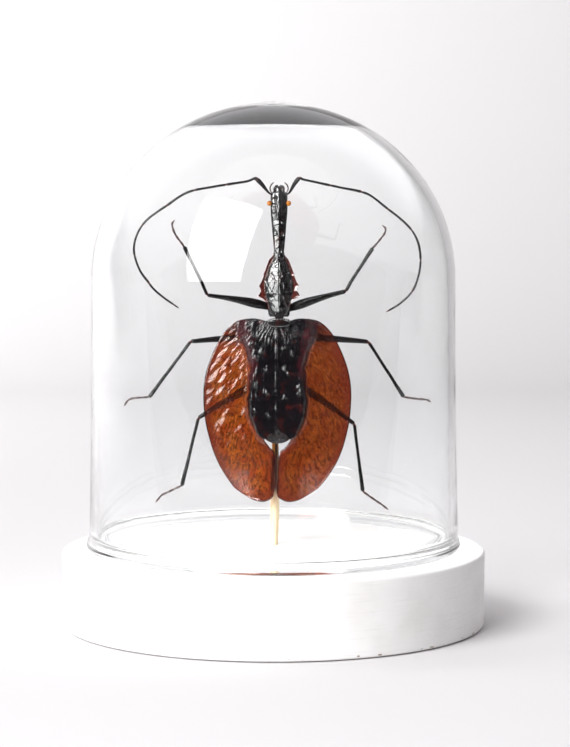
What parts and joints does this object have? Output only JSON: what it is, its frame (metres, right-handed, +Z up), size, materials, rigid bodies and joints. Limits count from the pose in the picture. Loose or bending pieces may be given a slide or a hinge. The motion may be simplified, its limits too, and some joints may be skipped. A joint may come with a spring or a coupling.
{
  "type": "insect in glass dome",
  "caption": "Dried leaf-winged beetle on a bamboo stick, under a clear blown glass dome that stands on a round white wooden base.",
  "frame": {"origin": "centre of the base's underside, where the object stands on a table", "axes": "+Z up, the beetle's head end up; -Y towards the viewer, who sees the beetle's back; +X to the viewer's right"},
  "size_m": [0.115, 0.115, 0.1416],
  "materials": {
    "painted_wood": "matte white paint over turned wood, brushed and a little worn at the rims",
    "clear_glass": "clear blown glass, polished, slightly uneven",
    "bamboo": "bare split bamboo with fine lengthwise grain",
    "amber_shell": "translucent amber-brown chitin with wrinkles, nearly black over the raised middle",
    "black_shell": "glossy black chitin",
    "red_brown_shell": "satin red-brown chitin",
    "amber_eye": "glossy amber eye"
  },
  "bodies": {
    "root": {"wooden_base": "painted_wood", "glass_dome": "clear_glass", "bamboo_stick": "bamboo", "left_wing_case": "amber_shell", "right_wing_case": "amber_shell", "head": "black_shell", "neck_ring": "red_brown_shell", "pronotum": "black_shell", "prothorax": "black_shell", "waist": "red_brown_shell", "collar": "black_shell", "abdomen": "black_shell", "left_eye": "amber_eye", "right_eye": "amber_eye", "left_mandible": "black_shell", "right_mandible": "black_shell", "left_palp": "red_brown_shell", "right_palp": "red_brown_shell", "left_antenna": "black_shell", "right_antenna": "black_shell", "left_fore_femur": "black_shell", "left_fore_tibia": "black_shell", "left_fore_tarsus": "red_brown_shell", "right_fore_femur": "black_shell", "right_fore_tibia": "black_shell", "right_fore_tarsus": "red_brown_shell", "left_mid_femur": "black_shell", "left_mid_tibia": "black_shell", "left_mid_tarsus": "red_brown_shell", "right_mid_femur": "black_shell", "right_mid_tibia": "black_shell", "right_mid_tarsus": "red_brown_shell", "left_hind_femur": "black_shell", "left_hind_tibia": "black_shell", "left_hind_tarsus": "red_brown_shell", "right_hind_femur": "black_shell", "right_hind_tibia": "black_shell", "right_hind_tarsus": "red_brown_shell"}
  },
  "joints": []
}
